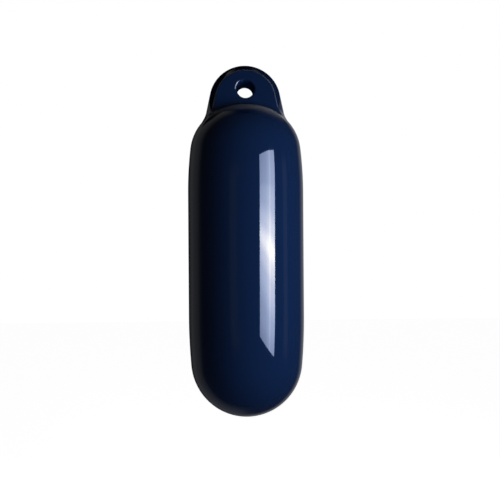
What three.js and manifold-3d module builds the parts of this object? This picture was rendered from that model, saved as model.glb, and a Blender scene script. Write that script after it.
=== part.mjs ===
// Hanging pneumatic fender: a blow-moulded PVC body with one solid rope eye, and a
// screw-plug air valve let into the bottom pole.
// Millimetres, +Z up. Origin at the centre of the rope eye, front face toward -Y.
// The mould's parting plane is XZ; the body is a solid of revolution about Z.

import * as THREE from 'three';
import { mergeVertices } from 'three/addons/utils/BufferGeometryUtils.js';
import Module from 'manifold-3d';

const wasm = await Module();
wasm.setup();

// body of revolution, top to bottom
const BODY_RADIUS = 60.2;
const DOME_DROP = 15.1;           // eye centre down to the dome apex
const CROWN_RADIUS = 97;
const KNUCKLE_RADIUS = 49.3;
const SHOULDER_RADIUS = 400;
const SHOULDER_ANGLE = 6.6;       // degrees the shoulder arc turns through
const POLE_DROP = 337.9;          // eye centre down to the bottom pole
const TAPER_RADIUS = 600;
const BASE_NARROWING = 2;         // how much less the bottom cap's radius is than the body's
const WALL = 3;

// rope lug
const LUG_THICKNESS = 32;
const LUG_RADIUS = 37.3;          // outline at the parting plane
const LUG_DROP = 8.9;             // eye centre down to the outline's centre
const LUG_FLANK_ANGLE = 12;       // degrees each side widens downward
const LUG_DRAFT = 26;             // degrees of draft on the side wall
const RIDGE_SOFTNESS = 3;         // how widely the side wall turns over at the parting plane
const LUG_SINK = 0.15;            // fall of the outline's centre per mm off the parting plane
const LUG_EDGE_ROUND = 1.2;
const ROOT_FILLET = 5;
const FILLET_REACH = 0.35;        // most of the dome beyond the lug's foot that the fillet may take

// rope eye
const EYE_RADIUS = 8.8;
const EYE_MOUTH_ROUND = 2.6;
const CUTTER_OVERRUN = 4;

// valve seat in the bottom pole
const BOSS_RADIUS = 15;
const BOSS_HEIGHT = 11;           // above the pole, inside
const BOSS_EDGE = 1.2;
const RECESS_RADIUS = 10.4;
const RECESS_DEPTH = 3.4;         // above the pole
const BORE_RADIUS = 7.4;

// valve
const FIT_GAP = 0.3;
const FLANGE_THICKNESS = 1.9;
const TUBE_OVERRUN = 3;           // past the boss, inside
const SNAP_RIB = 0.7;             // how far the rib stands over the bore
const SNAP_RIB_HEIGHT = 1.6;
const TUBE_EDGE = 0.8;
const COUNTERBORE_RADIUS = 5.1;
const COUNTERBORE_DEPTH = 3.8;
const SHANK_RADIUS = 3.2;
const SHANK_EDGE = 0.6;
const SHANK_LENGTH = 9;
const HEAD_SINK = 0.6;            // head face below the flange face
const SEAL_SECTION = 0.5;
const SLOT_WIDTH = 1.3;
const SLOT_DEPTH = 1;

// finishes
const NAVY_PVC = { color: 0x12244a, roughness: 0.06, metalness: 0 };
const VALVE_NYLON = { color: 0x303031, roughness: 0.5, metalness: 0 };
const SEAL_RUBBER = { color: 0x272727, roughness: 0.85, metalness: 0 };
const PLUG_NYLON = { color: 0xcecdc5, roughness: 0.45, metalness: 0 };

// fineness of the round surfaces
const SIDE_COLUMNS = 3;
const ROUND_COLUMNS = 3;
const FACE_COLUMNS = 7;
const ARCH_ROWS = 11;
const FLANK_ROWS = 1;
const FILLET_ROWS = 5;
const DOME_ROWS = 8;
const SHOULDER_ROWS = 3;
const TAPER_ROWS = 2;
const BASE_ROWS = 11;
const CAVITY_SEGMENTS = 48;
const EYE_SEGMENTS = 40;
const VALVE_SEGMENTS = 32;
const SEAL_SEGMENTS = 10;
const ARC_STEPS = 4;

const rad = THREE.MathUtils.degToRad;
const lerp = THREE.MathUtils.lerp;

// Body profile.
// A chain of tangent arcs, each met in order of its outward normal's angle from +Z.

const poleZ = -POLE_DROP;
const crownZ = -DOME_DROP - CROWN_RADIUS;
const shoulderTurn = rad(SHOULDER_ANGLE);
const knuckleR = BODY_RADIUS - SHOULDER_RADIUS
  + (SHOULDER_RADIUS - KNUCKLE_RADIUS) * Math.cos(shoulderTurn);
const crownToKnuckle = CROWN_RADIUS - KNUCKLE_RADIUS;
const knuckleZ = crownZ + Math.sqrt(crownToKnuckle ** 2 - knuckleR ** 2);
const shoulderZ = knuckleZ - (SHOULDER_RADIUS - KNUCKLE_RADIUS) * Math.sin(shoulderTurn);
const baseRadius = BODY_RADIUS - BASE_NARROWING;
const baseZ = poleZ + baseRadius;
const taperReach = TAPER_RADIUS - baseRadius;
const taperZ = baseZ + Math.sqrt(taperReach ** 2 - (TAPER_RADIUS - BODY_RADIUS) ** 2);

const crownEnd = Math.asin(knuckleR / crownToKnuckle);
const knuckleEnd = Math.PI / 2 - shoulderTurn;
const wallAngle = Math.PI / 2;
const taperEnd = wallAngle + Math.asin((taperZ - baseZ) / taperReach);

const crownArc = { r: 0, z: crownZ, radius: CROWN_RADIUS };
const knuckleArc = { r: knuckleR, z: knuckleZ, radius: KNUCKLE_RADIUS };
const shoulderArc = { r: BODY_RADIUS - SHOULDER_RADIUS, z: shoulderZ, radius: SHOULDER_RADIUS };
const taperArc = { r: BODY_RADIUS - TAPER_RADIUS, z: taperZ, radius: TAPER_RADIUS };
const baseArc = { r: 0, z: baseZ, radius: baseRadius };

// point on an arc where the outward normal stands at `angle` from +Z, moved out by `offset`
function onArc(arc, angle, offset) {
  const reach = arc.radius + offset;
  return { r: arc.r + reach * Math.sin(angle), z: arc.z + reach * Math.cos(angle) };
}

function onDome(angle, offset) {
  return onArc(angle <= crownEnd ? crownArc : knuckleArc, angle, offset);
}

// height of the dome, moved out by `offset`, over a point `r` from the axis
function domeHeight(r, offset) {
  const arc = r <= onArc(crownArc, crownEnd, offset).r ? crownArc : knuckleArc;
  return arc.z + Math.sqrt((arc.radius + offset) ** 2 - (r - arc.r) ** 2);
}

function domeAngle(r) {
  const arc = r <= onArc(crownArc, crownEnd, 0).r ? crownArc : knuckleArc;
  return Math.asin((r - arc.r) / arc.radius);
}

function steps(from, to, count) {
  return Array.from({ length: count }, (_, i) => lerp(from, to, (i + 1) / count));
}

// the profile from the shoulder's top down to just above the pole
function lowerProfile(offset) {
  return [
    ...steps(knuckleEnd, wallAngle, SHOULDER_ROWS).map((a) => onArc(shoulderArc, a, offset)),
    onArc(taperArc, wallAngle, offset),
    ...steps(wallAngle, taperEnd, TAPER_ROWS).map((a) => onArc(taperArc, a, offset)),
    ...steps(taperEnd, Math.PI, BASE_ROWS).slice(0, -1).map((a) => onArc(baseArc, a, offset)),
  ];
}

// Rope lug.
// One quarter of the lug's section (x and y both positive), from the parting plane
// round the edge to the middle of the face. Each column keeps its own y.

const halfLug = LUG_THICKNESS / 2;
const sideWidth = halfLug - LUG_EDGE_ROUND;
const draft = rad(LUG_DRAFT);
const flank = rad(LUG_FLANK_ANGLE);
const archEnd = Math.PI / 2 - flank;

const quarter = [
  ...Array.from({ length: SIDE_COLUMNS }, (_, i) => ({ y: sideWidth * i / SIDE_COLUMNS })),
  ...Array.from({ length: ROUND_COLUMNS + 1 }, (_, i) => ({ turn: wallAngle * i / ROUND_COLUMNS })),
  ...Array.from({ length: FACE_COLUMNS }, (_, i) => ({ part: 1 - (i + 1) / FACE_COLUMNS })),
];
const edgeColumn = SIDE_COLUMNS + ROUND_COLUMNS;

// y of a column standing `out` from the lug, and the radius and centre of its outline
function outline(column, out) {
  const turn = column.turn ?? (column.part === undefined ? 0 : wallAngle);
  const y = column.y ?? sideWidth + (LUG_EDGE_ROUND + out) * Math.sin(turn);
  const side = column.y === undefined
    ? (LUG_EDGE_ROUND + out) * Math.cos(turn) - LUG_EDGE_ROUND
    : out;
  return {
    y,
    radius: LUG_RADIUS + side / Math.cos(draft)
      - (Math.hypot(y, RIDGE_SOFTNESS) - RIDGE_SOFTNESS) * Math.tan(draft),
    centre: -LUG_DROP - LUG_SINK * y,
  };
}

function onArch(column, angle) {
  const { y, radius, centre } = outline(column, 0);
  return { x: radius * Math.sin(angle), y, z: centre + radius * Math.cos(angle) };
}

// point `out` from the lug's flank and `up` from the dome
function atRoot(column, out, up) {
  const { y, radius, centre } = outline(column, out);
  let x = radius;
  let z = centre;
  for (let i = 0; i < 20; i += 1) {
    z = domeHeight(Math.hypot(x, y), up);
    x = (radius - (z - centre) * Math.sin(flank)) / Math.cos(flank);
  }
  return { x, y, z };
}

// the fillet runs out on the dome, so the dome left beyond the lug's foot limits it
const footRoom = onArc(knuckleArc, knuckleEnd, 0).r - atRoot(quarter[0], 0, 0).x;
const rootFillet = Math.min(ROOT_FILLET, FILLET_REACH * footRoom);

function rootRow(turn) {
  const out = rootFillet * (1 - Math.cos(turn));
  const up = rootFillet * (1 - Math.sin(turn));
  const edge = atRoot(quarter[edgeColumn], out, up);
  return quarter.map((column) => {
    if (column.part === undefined) return atRoot(column, out, up);
    const x = edge.x * column.part;
    return { x, y: edge.y, z: domeHeight(Math.hypot(x, edge.y), up) };
  });
}

// a quarter row mirrored into a closed loop, anticlockwise seen from above
function loop(row) {
  const last = row.length - 1;
  const turned = (sx, sy, list) => list.map((p) => ({ x: sx * p.x, y: sy * p.y, z: p.z }));
  return [
    ...turned(1, 1, row.slice(0, last)),
    ...turned(-1, 1, row.slice(1).reverse()),
    ...turned(-1, -1, row.slice(0, last)),
    ...turned(1, -1, row.slice(1).reverse()),
  ];
}

// Outer skin.

function outerSkin() {
  const points = [];
  const faces = [];
  const add = (p) => points.push(p.x, p.y, p.z) / 3 - 1;
  const quad = (a, b, c, d) => faces.push(a, b, c, a, c, d);
  const join = (upper, lower) => {
    upper.forEach((a, i) => {
      const j = (i + 1) % upper.length;
      quad(a, lower[i], lower[j], upper[j]);
    });
  };

  // root fillet, lug side to dome side
  const fillet = [0, ...steps(0, wallAngle, FILLET_ROWS)].map((turn) => loop(rootRow(turn)));
  const filletRows = fillet.map((row) => row.map(add));

  // dome below the fillet, easing each column round to an even pitch
  const rim = fillet[FILLET_ROWS];
  const count = rim.length;
  const domeRows = steps(0, 1, DOME_ROWS).map((k) => rim.map((p, i) => {
    const even = 2 * Math.PI * i / count;
    const own = Math.atan2(p.y, p.x);
    const swing = THREE.MathUtils.euclideanModulo(even - own + Math.PI, 2 * Math.PI) - Math.PI;
    const around = own + swing * THREE.MathUtils.smoothstep(k, 0, 1);
    const { r, z } = onDome(lerp(domeAngle(Math.hypot(p.x, p.y)), knuckleEnd, k), 0);
    return add({ x: r * Math.cos(around), y: r * Math.sin(around), z });
  }));
  const bodyRows = lowerProfile(0).map(({ r, z }) => rim.map((_, i) => {
    const around = 2 * Math.PI * i / count;
    return add({ x: r * Math.cos(around), y: r * Math.sin(around), z });
  }));
  const rows = [...filletRows, ...domeRows, ...bodyRows];
  rows.slice(1).forEach((row, i) => join(rows[i], row));
  const pole = add({ x: 0, y: 0, z: poleZ });
  const lastRow = rows[rows.length - 1];
  lastRow.forEach((a, i) => faces.push(a, pole, lastRow[(i + 1) % count]));

  // side wall over the arch, from the right foot to the left foot
  const foot = filletRows[0];
  const half = count / 2;
  const right = [...foot.slice(count - edgeColumn), ...foot.slice(0, edgeColumn + 1)];
  const left = foot.slice(half - edgeColumn, half + edgeColumn + 1).reverse();
  const across = [
    ...quarter.slice(1, edgeColumn + 1).reverse().map((column) => ({ column, sy: -1 })),
    ...quarter.slice(0, edgeColumn + 1).map((column) => ({ column, sy: 1 })),
  ];
  const archRow = (angle) => across.map(({ column, sy }) => {
    const p = onArch(column, Math.abs(angle));
    return add({ x: Math.sign(angle) * p.x, y: sy * p.y, z: p.z });
  });
  const pointOf = (i) => ({ x: points[3 * i], y: points[3 * i + 1], z: points[3 * i + 2] });
  const between = (a, b) => steps(0, 1, FLANK_ROWS).slice(0, -1).map((k) => a.map((p, i) => {
    const from = pointOf(p);
    const to = pointOf(b[i]);
    return add({ x: lerp(from.x, to.x, k), y: lerp(from.y, to.y, k), z: lerp(from.z, to.z, k) });
  }));
  const arch = [archEnd, ...steps(archEnd, -archEnd, 2 * ARCH_ROWS)].map(archRow);
  const strip = [
    right, ...between(right, arch[0]), ...arch, ...between(arch[arch.length - 1], left), left,
  ];
  strip.slice(1).forEach((row, i) => {
    row.slice(1).forEach((b, j) => quad(strip[i][j], strip[i][j + 1], b, row[j]));
  });

  // the two flat faces
  const faceFoot = foot.slice(edgeColumn + 1, half - edgeColumn);
  const rearFoot = foot.slice(half + edgeColumn + 1, count - edgeColumn);
  const rearEdge = strip.map((row) => row[0]);
  const frontEdge = strip.map((row) => row[row.length - 1]);
  const cap = (ring, facing) => {
    const flat = ring.map((i) => new THREE.Vector2(facing * points[3 * i], points[3 * i + 2]));
    THREE.ShapeUtils.triangulateShape(flat, []).forEach(([a, b, c]) => {
      const turned = THREE.ShapeUtils.area([flat[a], flat[b], flat[c]]) > 0;
      faces.push(ring[a], turned ? ring[b] : ring[c], turned ? ring[c] : ring[b]);
    });
  };
  cap([...frontEdge, ...[...faceFoot].reverse()], -1);
  cap([...rearEdge, ...rearFoot], 1);

  const geometry = new THREE.BufferGeometry();
  geometry.setAttribute('position', new THREE.Float32BufferAttribute(points, 3));
  geometry.setIndex(faces);
  return geometry;
}

// Solids.

function solid(geometry) {
  geometry.deleteAttribute('normal');
  geometry.deleteAttribute('uv');
  const merged = mergeVertices(geometry, 1e-5);
  return new wasm.Manifold(new wasm.Mesh({
    numProp: 3,
    vertProperties: Float32Array.from(merged.attributes.position.array),
    triVerts: Uint32Array.from(merged.index.array),
  }));
}

// [radius, height] points, bottom axis point first, spun about Z
function spun(profile, segments) {
  return new THREE.LatheGeometry(profile.map(([r, z]) => new THREE.Vector2(r, z)), segments)
    .rotateX(Math.PI / 2);
}

function mesh(name, body, finish) {
  const { vertProperties, triVerts } = body.getMesh();
  const geometry = new THREE.BufferGeometry();
  geometry.setAttribute('position', new THREE.BufferAttribute(Float32Array.from(vertProperties), 3));
  geometry.setIndex(new THREE.BufferAttribute(Uint32Array.from(triVerts), 1));
  const result = new THREE.Mesh(geometry, new THREE.MeshStandardMaterial(finish));
  result.name = name;
  return result;
}

// heights in the valve, measured up from the pole
const recessZ = poleZ + RECESS_DEPTH;
const bossZ = poleZ + BOSS_HEIGHT;
const flangeTopZ = recessZ - FIT_GAP;
const flangeFaceZ = flangeTopZ - FLANGE_THICKNESS;
const tubeRadius = BORE_RADIUS - FIT_GAP;
const ribZ = bossZ + FIT_GAP;
const tubeEndZ = bossZ + TUBE_OVERRUN;
const counterboreZ = flangeFaceZ + COUNTERBORE_DEPTH;
const threadRadius = SHANK_RADIUS + FIT_GAP;
const sealZ = counterboreZ - FIT_GAP - SEAL_SECTION;
const headTopZ = sealZ - SEAL_SECTION - FIT_GAP;
const headFaceZ = flangeFaceZ + HEAD_SINK;
const headRadius = COUNTERBORE_RADIUS - FIT_GAP;
const sealRadius = (threadRadius + COUNTERBORE_RADIUS) / 2;

// air space: the body's profile moved in by the wall, standing off the valve boss
function cavity() {
  const wall = lowerProfile(-WALL).reverse().filter((p) => p.r > BOSS_RADIUS + BOSS_EDGE);
  const dome = steps(knuckleEnd, 0, DOME_ROWS + 2).map((a) => onDome(a, -WALL));
  const top = onDome(knuckleEnd, -WALL);
  const bossFootZ = baseZ - Math.sqrt((baseRadius - WALL) ** 2 - BOSS_RADIUS ** 2);
  return solid(spun([
    [0, bossZ],
    [BOSS_RADIUS - BOSS_EDGE, bossZ],
    [BOSS_RADIUS, bossZ - BOSS_EDGE],
    [BOSS_RADIUS, bossFootZ],
    ...wall.map((p) => [p.r, p.z]),
    [top.r, top.z],
    ...dome.slice(0, -1).map((p) => [p.r, p.z]),
    [0, crownZ + CROWN_RADIUS - WALL],
  ], CAVITY_SEGMENTS));
}

function valveSeat() {
  return solid(spun([
    [0, poleZ - CUTTER_OVERRUN],
    [RECESS_RADIUS, poleZ - CUTTER_OVERRUN],
    [RECESS_RADIUS, recessZ],
    [BORE_RADIUS, recessZ],
    [BORE_RADIUS, bossZ + CUTTER_OVERRUN],
    [0, bossZ + CUTTER_OVERRUN],
  ], VALVE_SEGMENTS));
}

// rope eye with both mouths rounded over
function eye() {
  const mouth = EYE_RADIUS + EYE_MOUTH_ROUND;
  const round = [0, ...steps(0, wallAngle, ARC_STEPS)].map((a) => [
    mouth - EYE_MOUTH_ROUND * Math.cos(a),
    halfLug - EYE_MOUTH_ROUND + EYE_MOUTH_ROUND * Math.sin(a),
  ]);
  const end = halfLug + CUTTER_OVERRUN;
  const profile = [
    [0, -end],
    [mouth, -end],
    ...[...round].reverse().map(([r, h]) => [r, -h]),
    ...round,
    [mouth, end],
    [0, end],
  ];
  return solid(spun(profile, EYE_SEGMENTS).rotateX(Math.PI / 2));
}

function fenderBody() {
  return solid(outerSkin()).subtract(cavity()).subtract(valveSeat()).subtract(eye());
}

function valveBody() {
  return solid(spun([
    [threadRadius, counterboreZ],
    [COUNTERBORE_RADIUS, counterboreZ],
    [COUNTERBORE_RADIUS, flangeFaceZ],
    [RECESS_RADIUS - FIT_GAP, flangeFaceZ],
    [RECESS_RADIUS - FIT_GAP, flangeTopZ],
    [tubeRadius, flangeTopZ],
    [tubeRadius, ribZ],
    [BORE_RADIUS + SNAP_RIB, ribZ],
    [tubeRadius, ribZ + SNAP_RIB_HEIGHT],
    [tubeRadius, tubeEndZ - TUBE_EDGE],
    [tubeRadius - TUBE_EDGE, tubeEndZ],
    [threadRadius, tubeEndZ],
    [threadRadius, counterboreZ],
  ], VALVE_SEGMENTS));
}

function valveSeal() {
  const ring = new THREE.TorusGeometry(sealRadius, SEAL_SECTION, SEAL_SEGMENTS, VALVE_SEGMENTS);
  return solid(ring.translate(0, 0, sealZ));
}

function valvePlug() {
  const tip = headTopZ + SHANK_LENGTH;
  const turned = solid(spun([
    [0, headFaceZ],
    [headRadius, headFaceZ],
    [headRadius, headTopZ],
    [SHANK_RADIUS, headTopZ],
    [SHANK_RADIUS, tip - SHANK_EDGE],
    [SHANK_RADIUS - SHANK_EDGE, tip],
    [0, tip],
  ], VALVE_SEGMENTS));
  const slot = new THREE.BoxGeometry(2 * COUNTERBORE_RADIUS, SLOT_WIDTH, 2 * SLOT_DEPTH);
  return turned.subtract(solid(slot.translate(0, 0, headFaceZ)));
}

const fender = new THREE.Group();
fender.name = 'pneumatic_fender';
fender.add(
  mesh('fender_body', fenderBody(), NAVY_PVC),
  mesh('valve_body', valveBody(), VALVE_NYLON),
  mesh('valve_seal', valveSeal(), SEAL_RUBBER),
  mesh('valve_plug', valvePlug(), PLUG_NYLON),
);

export default fender;
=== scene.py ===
import math

import bpy
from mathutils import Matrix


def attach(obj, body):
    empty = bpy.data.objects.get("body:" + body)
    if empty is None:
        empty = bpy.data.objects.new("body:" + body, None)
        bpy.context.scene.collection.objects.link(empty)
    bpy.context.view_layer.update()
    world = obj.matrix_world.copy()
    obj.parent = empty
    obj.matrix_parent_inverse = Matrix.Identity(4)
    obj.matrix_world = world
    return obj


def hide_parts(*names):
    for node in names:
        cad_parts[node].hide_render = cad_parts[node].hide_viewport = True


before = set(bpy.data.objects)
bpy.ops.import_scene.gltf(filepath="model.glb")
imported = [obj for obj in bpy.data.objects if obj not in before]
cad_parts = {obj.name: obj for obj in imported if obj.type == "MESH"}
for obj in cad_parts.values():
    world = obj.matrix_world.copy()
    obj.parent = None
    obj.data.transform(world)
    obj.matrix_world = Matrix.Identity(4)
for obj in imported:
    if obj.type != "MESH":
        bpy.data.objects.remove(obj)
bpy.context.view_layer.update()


# Moulded body: one hollow shell of soft glossy navy PVC, a straight barrel with a domed top
# and bottom. The solid rope lug grows out of the top dome through a filleted root. The two
# mould halves meet in the XZ plane and leave a fine raised parting line all the way round.

body_radius = 0.0602
crown_radius = 0.097
knuckle_radius = 0.0493
shoulder_radius = 0.400
shoulder_turn = math.radians(6.6)
taper_radius = 0.600
base_radius = body_radius - 0.0020
wall = 0.003
apex_z = -0.0151
pole_z = -0.3379

half_lug = 0.016
lug_radius = 0.0373
lug_centre_z = -0.0089
lug_sink = 0.15
flank = math.radians(12)
draft = math.radians(26)
ridge_softness = 0.003
edge_round = 0.0012
root_fillet = 0.005
parting_height = 0.0001
parting_width = 0.0004
first_column_y = 0.0013
tiny = 1e-9
weld = 1e-6

# the barrel's profile is a chain of tangent arcs, each (centre r, centre z, radius)
crown_z = apex_z - crown_radius
knuckle_r = body_radius - shoulder_radius
knuckle_r += (shoulder_radius - knuckle_radius) * math.cos(shoulder_turn)
knuckle_z = crown_z + math.sqrt((crown_radius - knuckle_radius) ** 2 - knuckle_r ** 2)
shoulder_z = knuckle_z - (shoulder_radius - knuckle_radius) * math.sin(shoulder_turn)
base_z = pole_z + base_radius
taper_z = base_z + math.sqrt((taper_radius - base_radius) ** 2 - (taper_radius - body_radius) ** 2)
crown = (0.0, crown_z, crown_radius)
knuckle = (knuckle_r, knuckle_z, knuckle_radius)
shoulder = (body_radius - shoulder_radius, shoulder_z, shoulder_radius)
taper = (body_radius - taper_radius, taper_z, taper_radius)
base = (0.0, base_z, base_radius)
quarter_turn = math.pi / 2
crown_end = math.asin(knuckle_r / (crown_radius - knuckle_radius))
knuckle_end = quarter_turn - shoulder_turn
taper_end = quarter_turn + math.asin((taper_z - base_z) / (taper_radius - base_radius))


def spread(first, last, count):
    return [first + (last - first) * i / count for i in range(count + 1)]


def on_arc(arc, angle, out=0.0):
    r, z, radius = arc
    return r + (radius + out) * math.sin(angle), z + (radius + out) * math.cos(angle)


def dome_arc(r, out):
    return crown if r <= on_arc(crown, crown_end, out)[0] else knuckle


def dome_height(r, out):
    arc = dome_arc(r, out)
    return arc[1] + math.sqrt((arc[2] + out) ** 2 - (r - arc[0]) ** 2)


def on_dome(angle, out):
    return on_arc(crown if angle <= crown_end else knuckle, angle, out)


def barrel_below_dome(out, fine):
    arcs = (
        (shoulder, knuckle_end, quarter_turn, 16),
        (taper, quarter_turn, taper_end, 8),
        (base, taper_end, math.pi, 40),
    )
    profile = []
    for arc, first, last, count in arcs:
        angles = spread(first, last, max(2, count // fine))[1:]
        profile += [on_arc(arc, angle, out) for angle in angles]
        if arc is shoulder:
            profile += [(body_radius + out, z) for z in spread(shoulder_z, taper_z, 12 // fine)[1:]]
    return profile


# one quarter of the lug's section, from the parting line round the edge to mid-face:
# each column keeps its y on the side wall, its turn on the rounded edge, its part of the face
half_side = half_lug - edge_round
side_columns = [("side", y) for y in [0.0, parting_width] + spread(first_column_y, half_side, 11)[:-1]]
round_columns = [("round", turn) for turn in spread(0.0, quarter_turn, 8)]
face_columns = [("face", part) for part in spread(1.0, 0.0, 34)[1:]]
quarter = side_columns + round_columns + face_columns
edge = len(side_columns) + len(round_columns) - 1


def lug_outline(column, out):
    kind, value = column
    if kind == "side":
        y = value
        off_side = out
    else:
        turn = value if kind == "round" else quarter_turn
        y = half_side + (edge_round + out) * math.sin(turn)
        off_side = (edge_round + out) * math.cos(turn) - edge_round
    fall = (math.hypot(y, ridge_softness) - ridge_softness) * math.tan(draft)
    return y, lug_radius + off_side / math.cos(draft) - fall, lug_centre_z - lug_sink * y


def parting(column):
    return parting_height if column == ("side", 0.0) else 0.0


def lug_arch(column, angle):
    y, radius, centre = lug_outline(column, parting(column))
    return radius * math.sin(angle), y, centre + radius * math.cos(angle)


def lug_root(column, turn):
    out = root_fillet - (root_fillet - parting(column)) * math.cos(turn)
    up = root_fillet - (root_fillet - parting(column)) * math.sin(turn)
    y, radius, centre = lug_outline(column, out)
    x = radius
    for _ in range(30):
        z = dome_height(math.hypot(x, y), up)
        x = (radius - (z - centre) * math.sin(flank)) / math.cos(flank)
    if column[0] == "face":
        x *= column[1]
        z = dome_height(math.hypot(x, y), up)
    return x, y, z


def all_round(row):
    ring = []
    for sx, sy in ((1, 1), (-1, 1), (-1, -1), (1, -1)):
        part = row[:-1] if sx == sy else row[:0:-1]
        ring += [(sx * x, sy * y, z) for x, y, z in part]
    return ring


def settled_grid(name, rows):
    """A flat grid laid out on rows of places, one vertex to each."""
    bpy.ops.object.select_all(action="DESELECT")
    across, up = len(rows[0]) - 1, len(rows) - 1
    bpy.ops.mesh.primitive_grid_add(x_subdivisions=across, y_subdivisions=up, size=1)
    sheet = bpy.context.object
    sheet.name = name
    sheet.data.vertices.foreach_set("co", [c for row in rows for place in row for c in place])
    return sheet


def tidy_skin():
    bpy.ops.object.mode_set(mode="EDIT")
    bpy.ops.mesh.select_all(action="SELECT")
    bpy.ops.mesh.remove_doubles(threshold=weld)
    bpy.ops.mesh.fill_holes(sides=0)
    bpy.ops.mesh.select_all(action="SELECT")
    bpy.ops.mesh.normals_make_consistent(inside=False)
    bpy.ops.object.mode_set(mode="OBJECT")


# skirt: root fillet, dome, barrel and bottom cap, in rings round the axis
fillet_turns = spread(0.0, quarter_turn, 12)
rings = [all_round([lug_root(column, turn) for column in quarter]) for turn in fillet_turns]
rim = rings[-1]
columns = len(rim)
ridge = [abs(p[1]) < tiny for p in rim]
even = []
for i, (x, y, z) in enumerate(rim):
    turn = 2 * math.pi * i / columns
    side = min((0.0, math.pi, 2 * math.pi), key=lambda a: abs(turn - a))
    if abs(y) < parting_width * 1.5:
        turn = side + math.copysign(abs(y), turn - side) / body_radius
    even.append(turn)
domed = 36
for step in range(1, domed + 1):
    k = step / domed
    ring = []
    for i, (x, y, z) in enumerate(rim):
        out = parting_height if ridge[i] else 0.0
        r = math.hypot(x, y)
        arc = dome_arc(r, out)
        start = math.asin((r - arc[0]) / (arc[2] + out))
        own = math.atan2(y, x) % (2 * math.pi)
        swing = (even[i] - own + math.pi) % (2 * math.pi) - math.pi
        around = own + swing * k * k * (3 - 2 * k)
        r, z = on_dome(start + (knuckle_end - start) * k, out)
        ring.append((r * math.cos(around), r * math.sin(around), z))
    rings.append(ring)
plain = barrel_below_dome(0.0, 1)
raised = barrel_below_dome(parting_height, 1)
for (r, z), (ridge_r, ridge_z) in zip(plain, raised):
    last = r < tiny
    ring = []
    for i, around in enumerate(even):
        rr, zz = (ridge_r, ridge_z) if ridge[i] and not last else (r, z)
        ring.append((rr * math.cos(around), rr * math.sin(around), zz))
    rings.append(ring)
skirt = settled_grid("fender_body_pvc", [ring + ring[:1] for ring in rings])

# arch: the lug's side wall and rounded edges, from the right foot over the top to the left
across = [(c, -1) for c in quarter[edge:0:-1]] + [(c, 1) for c in quarter[:edge + 1]]
arch_end = quarter_turn - flank
rows = []
for side, angles in ((1, spread(arch_end, 0.0, 56)), (-1, spread(0.0, arch_end, 56)[1:])):
    for angle in angles:
        places = [(lug_arch(column, angle), sy) for column, sy in across]
        rows.append([(side * x, sy * y, z) for (x, y, z), sy in places])
feet = [(lug_root(column, 0.0), sy) for column, sy in across]
for side, end in ((1, 0), (-1, -1)):
    foot = [(side * x, sy * y, z) for (x, y, z), sy in feet]
    flank_rows = [
        [tuple(a + (b - a) * k for a, b in zip(top, low)) for top, low in zip(rows[end], foot)]
        for k in spread(0.0, 1.0, 8)[1:]
    ]
    rows = flank_rows[::-1] + rows if side == 1 else rows + flank_rows
settled_grid("lug_arch", rows)

skirt.select_set(True)
bpy.context.view_layer.objects.active = skirt
bpy.ops.object.join()
tidy_skin()
body = skirt


def turned(name, profile, steps=96, axis=(0, 0, 1)):
    """A closed ring of (radius, height) places spun round the axis."""
    bpy.ops.object.select_all(action="DESELECT")
    bpy.ops.mesh.primitive_circle_add(vertices=len(profile), radius=0.01)
    blank = bpy.context.object
    blank.name = name
    upright = axis[2] == 1
    for vertex, (r, h) in zip(blank.data.vertices, profile):
        vertex.co = (r, 0, h) if upright else (r, h, 0)
    bpy.ops.object.mode_set(mode="EDIT")
    bpy.ops.mesh.select_all(action="SELECT")
    bpy.ops.mesh.spin(steps=steps, angle=2 * math.pi, center=(0, 0, 0), axis=axis)
    bpy.ops.mesh.select_all(action="SELECT")
    bpy.ops.mesh.remove_doubles(threshold=weld)
    bpy.ops.mesh.dissolve_degenerate(threshold=1e-7)
    bpy.ops.mesh.delete_loose(use_verts=True, use_edges=True, use_faces=False)
    bpy.ops.mesh.select_all(action="SELECT")
    bpy.ops.mesh.normals_make_consistent(inside=False)
    bpy.ops.object.mode_set(mode="OBJECT")
    return blank


def cut_away(piece, tool):
    bpy.ops.object.select_all(action="DESELECT")
    bpy.context.view_layer.objects.active = piece
    piece.select_set(True)
    cut = piece.modifiers.new("cut", "BOOLEAN")
    cut.operation = "DIFFERENCE"
    cut.solver = "EXACT"
    cut.object = tool
    bpy.ops.object.modifier_apply(modifier=cut.name)
    bpy.data.objects.remove(tool, do_unlink=True)


# air space, with the thick valve boss standing up inside the bottom pole
boss_radius = 0.015
boss_height = 0.011
boss_top = pole_z + boss_height
boss_edge = 0.0012
boss_foot = base_z - math.sqrt((base_radius - wall) ** 2 - boss_radius ** 2)
inner = [p for p in barrel_below_dome(-wall, 2) if p[0] > boss_radius + boss_edge]
inner_dome = [on_dome(angle, -wall) for angle in spread(0.0, knuckle_end, 20)]
air = [(0.0, boss_top), (boss_radius - boss_edge, boss_top), (boss_radius, boss_top - boss_edge)]
air += [(boss_radius, boss_foot)] + inner[::-1] + inner_dome[::-1]
cut_away(body, turned("air_space", air))

# rope eye, with both mouths rounded over
eye_radius = 0.0088
mouth_round = 0.0026
mouth = eye_radius + mouth_round
lip = [
    (mouth - mouth_round * math.cos(a), half_lug - mouth_round + mouth_round * math.sin(a))
    for a in spread(0.0, quarter_turn, 10)
]
beyond = 0.02
bobbin = [(0.0, -beyond), (mouth, -beyond)] + [(r, -h) for r, h in lip[::-1]]
bobbin += lip + [(mouth, beyond), (0.0, beyond)]
cut_away(body, turned("eye", bobbin, steps=120, axis=(0, 1, 0)))

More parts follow.
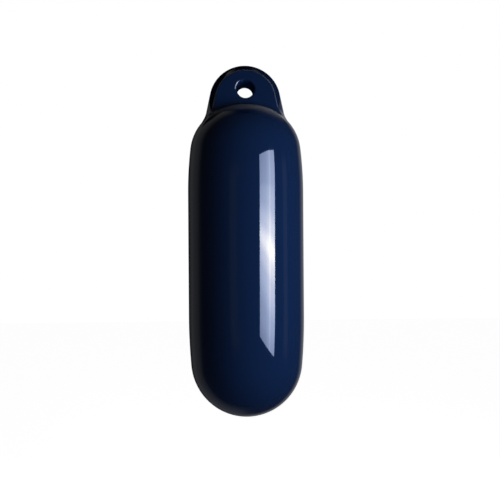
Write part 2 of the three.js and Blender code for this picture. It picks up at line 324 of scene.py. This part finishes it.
# valve seat: a shallow recess with a chamfered mouth, and a bore through the boss
recess_radius = 0.0104
recess_depth = 0.0034
recess_top = pole_z + recess_depth
recess_flare = 0.0006
flare_start = 0.0006
flare_end = 0.0014
bore_radius = 0.0074
overrun = 0.004
seat = [(0.0, pole_z - overrun), (recess_radius + recess_flare, pole_z - overrun)]
seat += [(recess_radius + recess_flare, pole_z + flare_start)]
seat += [(recess_radius, pole_z + flare_end), (recess_radius, recess_top), (bore_radius, recess_top)]
seat += [(bore_radius, boss_top + overrun), (0.0, boss_top + overrun)]
cut_away(body, turned("valve_seat", seat))


def smooth_finish(piece, angle):
    bpy.ops.object.select_all(action="DESELECT")
    bpy.context.view_layer.objects.active = piece
    piece.select_set(True)
    bpy.ops.object.shade_smooth_by_angle(angle=math.radians(angle))
    bpy.ops.object.modifier_add(type="WEIGHTED_NORMAL")
    piece.modifiers[-1].keep_sharp = True
    bpy.ops.object.modifier_apply(modifier=piece.modifiers[-1].name)


smooth_finish(body, 30)


def nodes_of(material_name):
    material = bpy.data.materials.new(material_name)
    material.use_nodes = True
    tree = material.node_tree
    tree.nodes.clear()
    output = tree.nodes.new("ShaderNodeOutputMaterial")
    shader = tree.nodes.new("ShaderNodeBsdfPrincipled")
    tree.links.new(shader.outputs["BSDF"], output.inputs["Surface"])
    return material, tree, shader


def put(tree, kind, settings=None, **inputs):
    """A node with its settings and inputs given; i0, i1 and so on are inputs by number."""
    node = tree.nodes.new(kind)
    for key, value in (settings or {}).items():
        setattr(node, key, value)
    for key, value in inputs.items():
        numbered = key[0] == "i" and key[1:].isdigit()
        socket = node.inputs[int(key[1:])] if numbered else node.inputs[key.replace("_", " ")]
        if isinstance(value, bpy.types.NodeSocket):
            tree.links.new(value, socket)
        else:
            socket.default_value = value
    return node


def maths(tree, how, *values):
    inputs = {f"i{i}": value for i, value in enumerate(values)}
    return put(tree, "ShaderNodeMath", {"operation": how}, **inputs).outputs[0]


def eased_range(tree, value, low, high, top=1.0):
    ramp = put(
        tree, "ShaderNodeMapRange", {"interpolation_type": "SMOOTHSTEP"},
        Value=value, From_Min=low, From_Max=high, To_Max=top,
    )
    return ramp.outputs["Result"]


def eased_fall(tree, value, low, high):
    return maths(tree, "SUBTRACT", 1.0, eased_range(tree, value, low, high))


def mix_colour(tree, share, first, second):
    mix = put(tree, "ShaderNodeMix", {"data_type": "RGBA"}, i0=share, i6=first, i7=second)
    return mix.outputs[2]


def parts_of(tree, vector):
    return put(tree, "ShaderNodeSeparateXYZ", Vector=vector).outputs


# moulded finish, shared by the PVC and the valve's nylon: a faint orange peel, a long soft
# waviness, drifting gloss, and thin scuffs that dull it
moulded = bpy.data.node_groups.new("moulded_finish", "ShaderNodeTree")
moulded.interface.new_socket(name="Place", in_out="INPUT", socket_type="NodeSocketVector")
settings = ("Peel size", "Peel depth", "Wave size", "Wave depth", "Gloss", "Gloss drift", "Scuffs")
for name in settings:
    moulded.interface.new_socket(name=name, in_out="INPUT", socket_type="NodeSocketFloat")
for name in ("Height", "Roughness", "Scuff mask"):
    moulded.interface.new_socket(name=name, in_out="OUTPUT", socket_type="NodeSocketFloat")
given = moulded.nodes.new("NodeGroupInput").outputs
on_piece = given["Place"]
peel = put(moulded, "ShaderNodeTexNoise", Vector=on_piece, Scale=given["Peel size"], Detail=2.0)
wave = put(moulded, "ShaderNodeTexNoise", Vector=on_piece, Scale=given["Wave size"], Detail=1.0)
peel_height = maths(moulded, "MULTIPLY", peel.outputs["Fac"], given["Peel depth"])
height = maths(moulded, "MULTIPLY_ADD", wave.outputs["Fac"], given["Wave depth"], peel_height)
stretch = put(
    moulded, "ShaderNodeMapping",
    Vector=on_piece, Rotation=(0.3, 0.5, 0.2), Scale=(900.0, 900.0, 40.0),
)
streak = put(moulded, "ShaderNodeTexNoise", Vector=stretch.outputs["Vector"], Scale=1.0, Detail=3.0)
patch = put(moulded, "ShaderNodeTexNoise", Vector=on_piece, Scale=38.0, Detail=3.0)
scuff = maths(
    moulded, "MULTIPLY",
    eased_range(moulded, streak.outputs["Fac"], 0.66, 0.76),
    eased_range(moulded, patch.outputs["Fac"], 0.5, 0.72),
)
scuffed = maths(moulded, "MULTIPLY", scuff, given["Scuffs"])
off_middle = maths(moulded, "SUBTRACT", patch.outputs["Fac"], 0.5)
cloud = maths(moulded, "MULTIPLY", off_middle, given["Gloss drift"])
dull = maths(moulded, "MULTIPLY_ADD", scuffed, 0.3, cloud)
roughness = maths(moulded, "ADD", dull, given["Gloss"])
returned = moulded.nodes.new("NodeGroupOutput").inputs
moulded.links.new(height, returned["Height"])
moulded.links.new(roughness, returned["Roughness"])
moulded.links.new(scuffed, returned["Scuff mask"])


def moulded_plastic(name, dark, light, tint_size, worn_colour, worn, **finish_values):
    """A moulded plastic: two close shades drifting over it, worn paler along its scuffs."""
    material, tree, shader = nodes_of(name)
    place = put(tree, "ShaderNodeTexCoord").outputs["Object"]
    finish = put(tree, "ShaderNodeGroup", {"node_tree": moulded}, Place=place, **finish_values)
    tint = put(tree, "ShaderNodeTexNoise", Vector=place, Scale=tint_size, Detail=3.0)
    shade = mix_colour(tree, tint.outputs["Fac"], dark, light)
    paler = maths(tree, "MULTIPLY", finish.outputs["Scuff mask"], worn)
    colour = mix_colour(tree, paler, shade, worn_colour)
    uneven = finish.outputs["Height"]
    relief = put(tree, "ShaderNodeBump", Strength=1.0, Distance=1.0, Height=uneven)
    tree.links.new(colour, shader.inputs["Base Color"])
    tree.links.new(finish.outputs["Roughness"], shader.inputs["Roughness"])
    tree.links.new(relief.outputs["Normal"], shader.inputs["Normal"])
    return material, shader


# the edge between the lug's wall and its face carries a thin paler line, a painted highlight: it
# starts and stops off the parting plane, keeps clear of the eye and ends above the dome
edge_highlight_start = (half_side + 0.0001, half_side + 0.0006)
edge_highlight_stop = (half_lug - 0.0003, half_lug - 0.00005)
clear_of_eye = (0.013, 0.016)
above_dome = (0.0005, 0.003)


# painted highlight: the mask of the pale line painted along the lug's face edge
def painted_edge_highlight(tree, place):
    apart = parts_of(tree, place)
    off_parting = maths(tree, "ABSOLUTE", apart["Y"])
    line = maths(
        tree, "MULTIPLY",
        eased_range(tree, off_parting, *edge_highlight_start), eased_fall(tree, off_parting, *edge_highlight_stop),
    )
    flat = put(tree, "ShaderNodeCombineXYZ", X=apart["X"], Z=apart["Z"]).outputs[0]
    from_eye = put(tree, "ShaderNodeVectorMath", {"operation": "LENGTH"}, i0=flat).outputs["Value"]
    line = maths(tree, "MULTIPLY", line, eased_range(tree, from_eye, *clear_of_eye))
    squared = maths(tree, "MULTIPLY", apart["X"], apart["X"])
    dome_fall = maths(tree, "MULTIPLY", squared, 0.5 / crown_radius)
    over_dome = maths(tree, "ADD", maths(tree, "ADD", apart["Z"], dome_fall), -apex_z)
    return maths(tree, "MULTIPLY", line, eased_range(tree, over_dome, *above_dome))


pvc_dark = (0.0042, 0.0165, 0.064, 1.0)
pvc_light = (0.0050, 0.0185, 0.072, 1.0)
pvc_worn = (0.16, 0.18, 0.23, 1.0)
# colour of the painted highlight line on the lug's face edge
edge_highlight_colour = (0.075, 0.085, 0.115, 1.0)
pvc, shader = moulded_plastic(
    "navy_pvc", pvc_dark, pvc_light, 16.0, pvc_worn, 0.25,
    Peel_size=420.0, Peel_depth=0.000003, Wave_size=22.0, Wave_depth=0.00006,
    Gloss=0.035, Gloss_drift=0.03, Scuffs=0.35,
)
shader.inputs["IOR"].default_value = 1.55
tree = pvc.node_tree
coords = put(tree, "ShaderNodeTexCoord").outputs
navy = shader.inputs["Base Color"].links[0].from_socket
# the painted highlight line is mixed over the navy
navy_with_edge_highlight = mix_colour(tree, painted_edge_highlight(tree, coords["Object"]), navy, edge_highlight_colour)

# a thin film of dust lies on top of the dome; its pale colour is mixed in only where the dome is seen
# edge-on, a painted sheen along the rim
dust_and_sheen_colour = (0.5, 0.5, 0.52, 1.0)
sheen_edge_on = (0.50, 1.0)
dust_and_sheen_upward = (0.50, 0.85)
dust_and_sheen_ceiling = (-0.0165, -0.0150)
# painted sheen: how nearly edge-on the surface is seen
edge_on = put(tree, "ShaderNodeLayerWeight", Blend=0.5).outputs["Facing"]
upward = parts_of(tree, coords["Normal"])["Z"]
height = parts_of(tree, coords["Object"])["Z"]
dust_and_sheen = maths(
    tree, "MULTIPLY",
    eased_range(tree, edge_on, *sheen_edge_on), eased_range(tree, upward, *dust_and_sheen_upward),
)
dust_and_sheen = maths(tree, "MULTIPLY", dust_and_sheen, eased_fall(tree, height, *dust_and_sheen_ceiling))
# the pale dust colour and painted sheen go over the navy and the painted edge highlight
tree.links.new(mix_colour(tree, dust_and_sheen, navy_with_edge_highlight, dust_and_sheen_colour), shader.inputs["Base Color"])
body.data.materials.clear()
body.data.materials.append(pvc)
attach(body, "root")
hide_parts("fender_body")


# Valve bush: a black nylon bush pressed up through the bottom pole. Its flange sits in the
# recess, its rib snaps over the boss inside, and its bore is threaded for the plug.

fit_gap = 0.0003
flange_thickness = 0.0019
tube_overrun = 0.003
snap_rib = 0.0007
snap_rib_height = 0.0016
tube_edge = 0.0008
counterbore_radius = 0.0051
counterbore_depth = 0.0038
shank_radius = 0.0032
thread_pitch = 0.00125
thread_depth = 0.00035
rows_per_pitch = 8
moulded_edge = 0.00025
rim_width = 0.0012
rim_height = 0.0003

flange_top = recess_top - fit_gap
flange_face = flange_top - flange_thickness
flange_radius = recess_radius - fit_gap
tube_radius = bore_radius - fit_gap
rib_z = boss_top + fit_gap
tube_end = boss_top + tube_overrun
counterbore_top = flange_face + counterbore_depth
thread_radius = shank_radius + fit_gap


def softened(corners, ease):
    """A closed (radius, height) outline with each corner off the axis rounded over."""
    outline = []
    for i, here in enumerate(corners):
        before, after = corners[i - 1], corners[(i + 1) % len(corners)]
        if here[0] < tiny:
            outline.append(here)
            continue
        starts = []
        for other in (before, after):
            cut = min(ease / math.dist(here, other), 0.45)
            starts.append(tuple(h + (o - h) * cut for h, o in zip(here, other)))
        for k in spread(0.0, 1.0, 4):
            a, b, c = (1 - k) ** 2, 2 * k * (1 - k), k ** 2
            curve = zip(starts[0], here, starts[1])
            outline.append(tuple(a * p + b * h + c * q for p, h, q in curve))
    return outline


def threaded(name, outline, low, high, at_radius, depth, around=64):
    """An outline spun about the axis, its run at at_radius cut to a helical thread."""
    rows = []
    steps = round((high - low) / thread_pitch) * rows_per_pitch
    run = [(at_radius, low + (high - low) * i / steps) for i in range(1, steps)]
    for i, here in enumerate(outline):
        after = outline[(i + 1) % len(outline)]
        rows.append(here)
        if abs(here[0] - at_radius) < tiny and abs(after[0] - at_radius) < tiny:
            rows += run if here[1] < after[1] else run[::-1]
    places = []
    for r, h in rows:
        threads = abs(r - at_radius) < tiny and low < h < high
        fade = min(1.0, (h - low) / thread_pitch, (high - h) / thread_pitch) if threads else 0.0
        row = []
        for i in range(around + 1):
            turn = i % around / around
            tooth = abs(((h / thread_pitch - turn) % 1.0) * 2.0 - 1.0)
            reach = r + depth * fade * tooth
            angle = 2 * math.pi * turn
            row.append((reach * math.cos(angle), reach * math.sin(angle), h))
        places.append(row)
    if outline[0][0] > tiny:
        places.append(places[0])
    piece = settled_grid(name, places)
    tidy_skin()
    return piece


bush_outline = softened([
    (counterbore_radius, counterbore_top),
    (counterbore_radius, flange_face - rim_height),
    (counterbore_radius + rim_width, flange_face - rim_height),
    (counterbore_radius + rim_width + rim_height, flange_face),
    (flange_radius, flange_face),
    (flange_radius, flange_top),
    (tube_radius, flange_top),
    (tube_radius, rib_z),
    (bore_radius + snap_rib, rib_z),
    (tube_radius, rib_z + snap_rib_height),
    (tube_radius, tube_end - tube_edge),
    (tube_radius - tube_edge, tube_end),
    (thread_radius, tube_end),
    (thread_radius, counterbore_top),
], moulded_edge)
bush = threaded(
    "valve_bush", bush_outline, counterbore_top + moulded_edge, tube_end - moulded_edge,
    thread_radius, thread_depth,
)
smooth_finish(bush, 40)
black_nylon, shader = moulded_plastic(
    "black_nylon", (0.022, 0.022, 0.024, 1.0), (0.032, 0.032, 0.034, 1.0), 240.0,
    (0.12, 0.12, 0.12, 1.0), 0.5,
    Peel_size=2600.0, Peel_depth=0.000012, Wave_size=160.0, Wave_depth=0.00001,
    Gloss=0.42, Gloss_drift=0.2, Scuffs=0.8,
)
bush.data.materials.append(black_nylon)
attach(bush, "root")
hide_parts("valve_body")


# Valve seal: an O-ring of black rubber under the plug's head, at the bottom of the bush's
# counterbore. It keeps the fine flash line of its two-part mould, inside and outside.

seal_section = 0.0005
flash = 0.00003
seal_z = counterbore_top - fit_gap - seal_section
seal_radius = (thread_radius + counterbore_radius) / 2

bpy.ops.object.select_all(action="DESELECT")
bpy.ops.mesh.primitive_torus_add(
    major_radius=seal_radius, minor_radius=seal_section - flash,
    major_segments=96, minor_segments=24, location=(0, 0, seal_z),
)
bpy.ops.object.transform_apply(location=True, rotation=False, scale=False)
seal = bpy.context.object
seal.name = "o_ring"
for vertex in seal.data.vertices:
    x, y, z = vertex.co
    if abs(z - seal_z) < weld:
        out = math.hypot(x, y)
        grown = 1 + math.copysign(flash, out - seal_radius) / out
        vertex.co = (x * grown, y * grown, z)
smooth_finish(seal, 60)

rubber, tree, shader = nodes_of("seal_rubber")
place = put(tree, "ShaderNodeTexCoord").outputs["Object"]
bloom = put(tree, "ShaderNodeTexNoise", Vector=place, Scale=700.0, Detail=4.0)
grain = put(tree, "ShaderNodeTexNoise", Vector=place, Scale=5200.0, Detail=2.0)
rubber_dark = (0.014, 0.014, 0.014, 1.0)
rubber_light = (0.028, 0.028, 0.027, 1.0)
black = mix_colour(tree, bloom.outputs["Fac"], rubber_dark, rubber_light)
roughness = maths(tree, "MULTIPLY_ADD", bloom.outputs["Fac"], 0.25, 0.62)
pores = maths(tree, "MULTIPLY", grain.outputs["Fac"], 0.000015)
relief = put(tree, "ShaderNodeBump", Strength=1.0, Distance=1.0, Height=pores)
tree.links.new(black, shader.inputs["Base Color"])
tree.links.new(roughness, shader.inputs["Roughness"])
tree.links.new(relief.outputs["Normal"], shader.inputs["Normal"])
seal.data.materials.append(rubber)
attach(seal, "root")
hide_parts("valve_seal")


# Valve plug: a screw of natural white nylon that closes the bush on the seal. Its flat head
# lies just inside the flange and has one slot across it for a coin or a screwdriver.

shank_length = 0.009
shank_edge = 0.0006
head_sink = 0.0006
slot_width = 0.0013
slot_depth = 0.001
slot_bevel = 0.0001
slot_reach = 2.4

head_top = seal_z - seal_section - fit_gap
head_face = flange_face + head_sink
head_radius = counterbore_radius - fit_gap
tip = head_top + shank_length

plug_outline = softened([
    (0.0, head_face),
    (head_radius, head_face),
    (head_radius, head_top),
    (shank_radius, head_top),
    (shank_radius, tip - shank_edge),
    (shank_radius - shank_edge, tip),
    (0.0, tip),
], moulded_edge)
plug = threaded(
    "slotted_plug", plug_outline, head_top + 2 * moulded_edge, tip - shank_edge - moulded_edge,
    shank_radius, -thread_depth,
)
bpy.ops.object.select_all(action="DESELECT")
bpy.ops.mesh.primitive_cube_add(size=1.0, location=(0, 0, head_face))
slot = bpy.context.object
bpy.ops.object.mode_set(mode="EDIT")
bpy.ops.transform.resize(value=(slot_reach * head_radius, slot_width, 2 * slot_depth))
bpy.ops.mesh.select_all(action="SELECT")
bpy.ops.mesh.bevel(offset=slot_bevel, segments=2, affect="EDGES")
bpy.ops.object.mode_set(mode="OBJECT")
cut_away(plug, slot)
smooth_finish(plug, 40)
white_nylon, shader = moulded_plastic(
    "natural_nylon", (0.56, 0.55, 0.49, 1.0), (0.66, 0.65, 0.60, 1.0), 190.0,
    (0.36, 0.35, 0.31, 1.0), 0.7,
    Peel_size=2200.0, Peel_depth=0.000014, Wave_size=150.0, Wave_depth=0.000012,
    Gloss=0.40, Gloss_drift=0.2, Scuffs=1.0,
)
shader.inputs["Subsurface Weight"].default_value = 0.15
shader.inputs["Subsurface Radius"].default_value = (1.0, 0.9, 0.7)
shader.inputs["Subsurface Scale"].default_value = 0.0008
plug.data.materials.append(white_nylon)
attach(plug, "root")
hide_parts("valve_plug")


# Setting: a plain pale floor well below the hanging fender and a white surround. The gloss
# mirrors a tall window to the right front, a dim room with a pale wall on each side, and two
# black cards behind the lug. A lamp beside the window and one straight behind light the body.

floor_drop = 0.26
floor_size = 6.0
floor_white = (0.86, 0.86, 0.86, 1.0)
floor_glow = 0.95


def seen_directly(tree):
    """1 where the camera looks at it, straight or through something clear."""
    seen = put(tree, "ShaderNodeLightPath").outputs
    return maths(tree, "MAXIMUM", seen["Is Camera Ray"], seen["Is Transmission Ray"])


bpy.ops.object.select_all(action="DESELECT")
bpy.ops.mesh.primitive_plane_add(size=floor_size, location=(0, 0, pole_z - floor_drop))
floor = bpy.context.object
floor.name = "floor"
pale, tree, shader = nodes_of("pale_floor")
glow = maths(tree, "MULTIPLY", seen_directly(tree), floor_glow)
shader.inputs["Base Color"].default_value = floor_white
shader.inputs["Roughness"].default_value = 0.9
shader.inputs["Emission Color"].default_value = (1.0, 1.0, 1.0, 1.0)
tree.links.new(glow, shader.inputs["Emission Strength"])
floor.data.materials.append(pale)
floor.visible_glossy = False

black_card, tree, shader = nodes_of("black_card")
shader.inputs["Base Color"].default_value = (0.004, 0.004, 0.004, 1.0)
shader.inputs["Roughness"].default_value = 1.0
shader.inputs["Specular IOR Level"].default_value = 0.0


def dark_card(name, place, wide, tall):
    """A black card that shows only in the gloss."""
    bpy.ops.object.select_all(action="DESELECT")
    bpy.ops.mesh.primitive_plane_add(size=1.0, location=place)
    card = bpy.context.object
    card.name = name
    bpy.ops.object.mode_set(mode="EDIT")
    bpy.ops.transform.resize(value=(wide, tall, 1.0))
    bpy.ops.transform.rotate(value=quarter_turn, orient_axis="X", center_override=place)
    bpy.ops.object.mode_set(mode="OBJECT")
    card.data.materials.append(black_card)
    for ray in ("camera", "diffuse", "transmission", "shadow"):
        setattr(card, f"visible_{ray}", False)


dark_card("card_behind_lug", (0, 0.060, 0.0565), wide=0.23, tall=0.069)
dark_card("card_behind_eye", (0, 0.030, 0.002), wide=0.040, tall=0.046)

world = bpy.data.worlds.new("studio")
bpy.context.scene.world = world
world.use_nodes = True
tree = world.node_tree
tree.nodes.clear()
axes = parts_of(tree, put(tree, "ShaderNodeTexCoord").outputs["Generated"])

# behind the fender the room is a faint grey that differs between the right and the left
right_side = eased_range(tree, axes["Y"], 0.60, 0.86, top=0.26)
left_rise = eased_range(tree, axes["Y"], 0.10, 0.45, top=0.10)
left_side = maths(tree, "MULTIPLY", left_rise, eased_fall(tree, axes["Y"], 0.70, 0.94))
behind = put(
    tree, "ShaderNodeMix", {"data_type": "FLOAT"},
    i0=eased_range(tree, axes["X"], -0.15, 0.15), i2=left_side, i3=right_side,
)

# a strip straight behind it is in shade
off_middle = maths(tree, "ABSOLUTE", axes["X"])
shade = maths(
    tree, "MULTIPLY",
    eased_fall(tree, off_middle, 0.08, 0.30), eased_range(tree, axes["Z"], -0.45, -0.30),
)
shade = maths(tree, "MULTIPLY", shade, eased_range(tree, axes["Y"], 0.0, 0.2))


def pale_wall(side, first, last, soft, level):
    """A pale upright strip of the surround, from first to last along Y."""
    rise = eased_range(tree, axes["Y"], first, first + soft, top=level)
    strip = maths(tree, "MULTIPLY", rise, eased_fall(tree, axes["Y"], last - soft, last))
    on_side = eased_range(tree, maths(tree, "MULTIPLY", axes["X"], side), 0.05, 0.15)
    return maths(tree, "MULTIPLY", strip, on_side)


right_wall = pale_wall(side=1, first=-0.26, last=-0.06, soft=0.02, level=0.11)
left_wall = pale_wall(side=-1, first=-0.98, last=-0.80, soft=0.07, level=0.05)
off_level = maths(tree, "ABSOLUTE", axes["Z"])
walls = maths(
    tree, "MULTIPLY",
    maths(tree, "ADD", right_wall, left_wall), eased_fall(tree, off_level, 0.20, 0.30),
)
room_grey = 0.02
grey = maths(tree, "ADD", maths(tree, "ADD", behind.outputs[0], room_grey), walls)
room = maths(tree, "MULTIPLY", grey, maths(tree, "SUBTRACT", 1.0, shade))
strength = put(
    tree, "ShaderNodeMix", {"data_type": "FLOAT"}, i0=seen_directly(tree), i2=room, i3=1.0,
).outputs[0]
sky = put(tree, "ShaderNodeBackground", Color=(1.0, 1.0, 1.0, 1.0), Strength=strength)
tree.links.new(sky.outputs["Background"], put(tree, "ShaderNodeOutputWorld").inputs["Surface"])


def area_lamp(name, place, turn, roll, wide, tall, power):
    rotation = (quarter_turn, roll, turn)
    bpy.ops.object.light_add(type="AREA", location=place, rotation=rotation)
    lamp = bpy.context.object
    lamp.name = name
    lamp.data.shape = "RECTANGLE"
    lamp.data.size = wide
    lamp.data.size_y = tall
    lamp.data.energy = power
    lamp.data.color = (1.0, 1.0, 1.0)
    lamp.visible_camera = False
    return lamp


def power_at(distance, level):
    """The power that lights the fender's skin to a level from that distance off its axis."""
    return level * (math.pi * (distance - body_radius)) ** 2


window_place = (0.877, -1.134, -0.102)
window_wide = 0.834
window_tall = 0.99
window_peak = 24.5
window = area_lamp(
    "window", window_place, turn=math.radians(62), roll=math.radians(5),
    wide=window_wide, tall=window_tall, power=window_peak * math.pi * window_wide * window_tall,
)
window.visible_diffuse = False
window.data.use_nodes = True
tree = window.data.node_tree
pane = parts_of(tree, put(tree, "ShaderNodeNewGeometry").outputs["Parametric"])


def brightness(along, stops):
    ramp = put(tree, "ShaderNodeValToRGB", Fac=along)
    ramp.color_ramp.interpolation = "EASE"
    while len(ramp.color_ramp.elements) < len(stops):
        ramp.color_ramp.elements.new(0.5)
    for element, (position, level) in zip(ramp.color_ramp.elements, stops):
        element.position = position
        element.color = (level, level, level, 1.0)
    return ramp.outputs["Color"]


# the pane is brightest near its middle and dims to its ends, where it turns bluer
up_pane = brightness(pane["Y"], [
    (0.0, 0.28), (0.20, 0.38), (0.34, 0.58), (0.40, 0.76), (0.455, 1.08),
    (0.52, 0.70), (0.60, 0.49), (0.72, 0.38), (1.0, 0.33),
])
across_pane = brightness(pane["X"], [
    (0.0, 0.56), (0.40, 0.66), (0.62, 0.80), (0.70, 1.0), (0.78, 0.84), (1.0, 0.80),
])
glow = maths(tree, "MULTIPLY", up_pane, across_pane)
dim_tint = (0.78, 1.0, 1.56, 1.0)
bright_tint = (1.0, 1.0, 1.04, 1.0)
daylight = mix_colour(tree, eased_range(tree, glow, 0.05, 0.80), dim_tint, bright_tint)
tree.links.new(glow, tree.nodes["Emission"].inputs["Strength"])
tree.links.new(daylight, tree.nodes["Emission"].inputs["Color"])

key_turn = math.radians(44)
key_distance = 0.42
key_level = 1.2
key_place = (key_distance * math.sin(key_turn), -key_distance * math.cos(key_turn), -0.152)
key = area_lamp(
    "key", key_place, turn=key_turn, roll=0.0,
    wide=0.18, tall=0.26, power=power_at(key_distance, key_level),
)
key.visible_glossy = False

# a soft lamp straight behind lights the far side
back_distance = 0.62
back_level = 0.8
back_place = (0, back_distance, -0.17)
back = area_lamp(
    "back_fill", back_place, turn=math.pi, roll=0.0,
    wide=0.3, tall=0.3, power=power_at(back_distance, back_level),
)
back.visible_glossy = False

camera_distance = 0.620
camera_level = -0.165
camera_turn = math.radians(-2.0)
camera_roll = math.radians(0.38)
image_width = 500
pixels_per_metre = 952.0
pixels_per_radian = pixels_per_metre * camera_distance
shift_pixels = 4.0
camera_data = bpy.data.cameras.new("viewpoint")
camera = bpy.data.objects.new("viewpoint", camera_data)
bpy.context.collection.objects.link(camera)
camera_data.sensor_width = 36.0
camera_data.lens = pixels_per_radian * camera_data.sensor_width / image_width
camera_data.clip_start = 0.01
camera_data.clip_end = 30.0
camera_data.shift_x = shift_pixels / image_width
camera.location = (
    camera_distance * math.sin(camera_turn), -camera_distance * math.cos(camera_turn), camera_level,
)
camera.rotation_euler = (quarter_turn, camera_roll, camera_turn)
bpy.context.scene.camera = camera
bpy.context.scene.view_settings.view_transform = "Standard"
